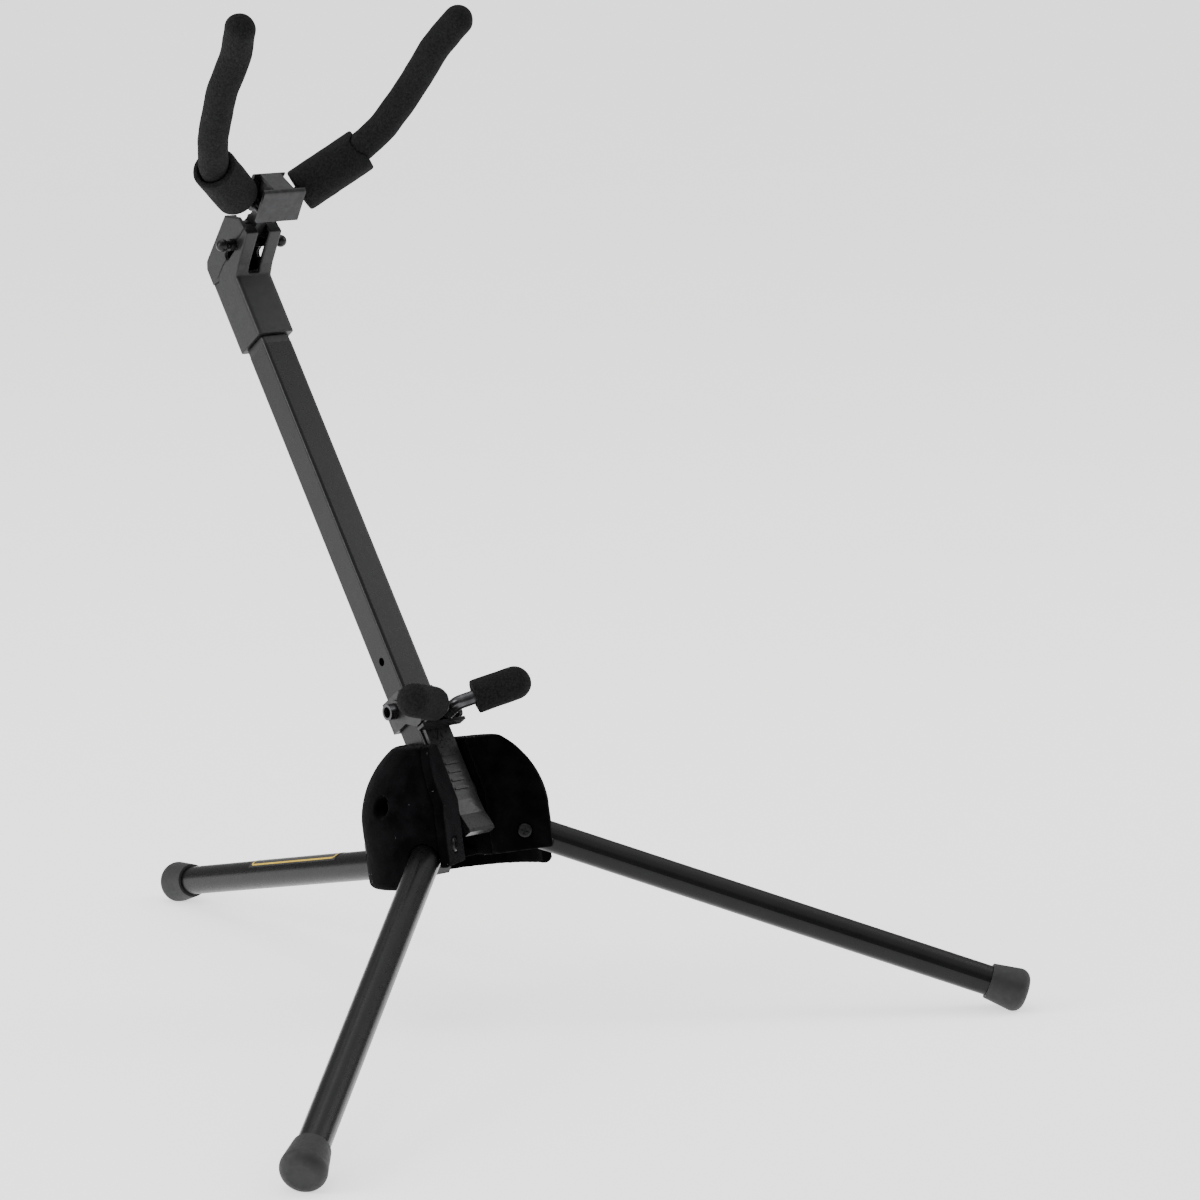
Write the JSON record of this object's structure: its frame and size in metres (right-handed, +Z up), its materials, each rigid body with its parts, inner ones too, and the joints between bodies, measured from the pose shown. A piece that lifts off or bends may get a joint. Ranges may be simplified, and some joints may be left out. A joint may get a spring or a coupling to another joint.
{
  "type": "saxophone stand",
  "caption": "Compact folding saxophone stand: flocked bell-rest hub on three legs, leaning square mast, foam-covered lower pegs and a forked upper rest.",
  "frame": {"origin": "centre of the bounding box, on the floor", "axes": "+Z up, the front of the stand looks along -Y, +X across the stand; symmetric about X = 0 except for screw heads and nuts"},
  "size_m": [0.3898, 0.3912, 0.427],
  "materials": {
    "flocked_shell": "black flock over moulded plastic",
    "black_metal": "satin black powder coat",
    "satin_steel": "smooth dark steel",
    "black_screws": "black oxide steel",
    "hard_plastic": "moulded dark grey plastic",
    "latch_plastic": "smooth dark grey plastic",
    "foot_rubber": "matt dark grey rubber",
    "foam": "closed-cell foam, fine open skin",
    "sticker": "printed film with a plain border"
  },
  "bodies": {
    "hub": {"hub_half_left": "flocked_shell", "hub_half_right": "flocked_shell", "hub_cover_left": "flocked_shell", "hub_cover_right": "flocked_shell", "hub_spine": "flocked_shell", "leg_pivot_screws": "black_screws", "mast_pivot_bolt": "black_screws", "mast_pivot_nut": "black_screws", "mast_washers": "hard_plastic", "rear_pivot_bolt": "black_screws", "rear_pivot_nut": "black_screws"},
    "front_leg_left": {"front_leg_tube_left": "black_metal", "front_leg_knuckle_left": "hard_plastic", "front_foot_left": "foot_rubber"},
    "front_leg_right": {"front_leg_tube_right": "black_metal", "front_leg_knuckle_right": "hard_plastic", "front_foot_right": "foot_rubber"},
    "rear_leg": {"rear_leg_tube": "black_metal", "rear_leg_knuckle": "hard_plastic", "rear_foot": "foot_rubber", "leg_label": "sticker"},
    "mast": {"mast_tube": "black_metal", "mast_foot_plug": "hard_plastic", "mast_bush": "hard_plastic", "lower_bracket": "black_metal", "lower_axle": "satin_steel"},
    "latch": {"latch": "latch_plastic"},
    "lower_yoke": {"lower_fork": "black_metal", "peg_rod_left": "satin_steel", "peg_rod_right": "satin_steel", "peg_foam_left": "foam", "peg_foam_right": "foam"},
    "head": {"mast_inner": "satin_steel", "inner_glide": "hard_plastic", "head_body": "hard_plastic", "head_cover_left": "hard_plastic", "head_cover_right": "hard_plastic", "tilt_pin": "black_screws", "tilt_spacers": "hard_plastic"},
    "lock_pin": {"lock_pin": "black_screws"},
    "yoke": {"yoke_channel": "black_metal", "yoke_block": "hard_plastic", "yoke_stem": "satin_steel", "arm_pivots": "black_screws"},
    "arm_left": {"arm_rod_left": "satin_steel", "arm_thick_foam_left": "foam", "arm_thin_foam_left": "foam"},
    "arm_right": {"arm_rod_right": "satin_steel", "arm_thick_foam_right": "foam", "arm_thin_foam_right": "foam"}
  },
  "joints": [
    {"name": "front_leg_right_fold", "type": "hinge", "parent": "hub", "child": "front_leg_right", "pos_m": [0.0252, -0.04846, 0.07897], "axis": [0.6018, 0.7825, -0.1598], "range_deg": [0, 64]},
    {"name": "front_leg_left_fold", "type": "hinge", "parent": "hub", "child": "front_leg_left", "pos_m": [-0.0252, -0.04846, 0.07897], "axis": [0.6018, -0.7825, 0.1598], "range_deg": [0, 64]},
    {"name": "rear_leg_fold", "type": "hinge", "parent": "hub", "child": "rear_leg", "pos_m": [0, -0.01345, 0.07223], "axis": [-1, 0, 0], "range_deg": [0, 85]},
    {"name": "mast_fold", "type": "hinge", "parent": "hub", "child": "mast", "pos_m": [0, -0.03153, 0.0948], "axis": [1, 0, 0], "range_deg": [0, 90]},
    {"name": "latch_slide", "type": "slide", "parent": "mast", "child": "latch", "axis": [0, 0.5954, 0.8034], "range_m": [0, 0.008], "stiffness_N_per_m": 250, "springref_m": -0.004},
    {"name": "lower_yoke_fold", "type": "hinge", "parent": "mast", "child": "lower_yoke", "pos_m": [0, -0.00334, 0.1278], "axis": [-1, 0, 0], "range_deg": [0, 85]},
    {"name": "height_slide", "type": "slide", "parent": "mast", "child": "head", "axis": [0, 0.5954, 0.8034], "range_m": [0, 0.08]},
    {"name": "lock_pin_slide", "type": "slide", "parent": "head", "child": "lock_pin", "axis": [0, 0.7223, -0.6916], "range_m": [0, 0.0079], "stiffness_N_per_m": 300, "springref_m": -0.003},
    {"name": "yoke_tilt", "type": "hinge", "parent": "head", "child": "yoke", "pos_m": [0, 0.11711, 0.3273], "axis": [1, 0, 0], "range_deg": [0, 85]},
    {"name": "arm_left_fold", "type": "hinge", "parent": "yoke", "child": "arm_left", "pos_m": [-0.008, 0.10587, 0.33993], "axis": [0, 0.878, 0.4787], "range_deg": [0, 10]},
    {"name": "arm_right_fold", "type": "hinge", "parent": "yoke", "child": "arm_right", "pos_m": [0.008, 0.10587, 0.33993], "axis": [0, -0.878, -0.4787], "range_deg": [0, 10]}
  ]
}
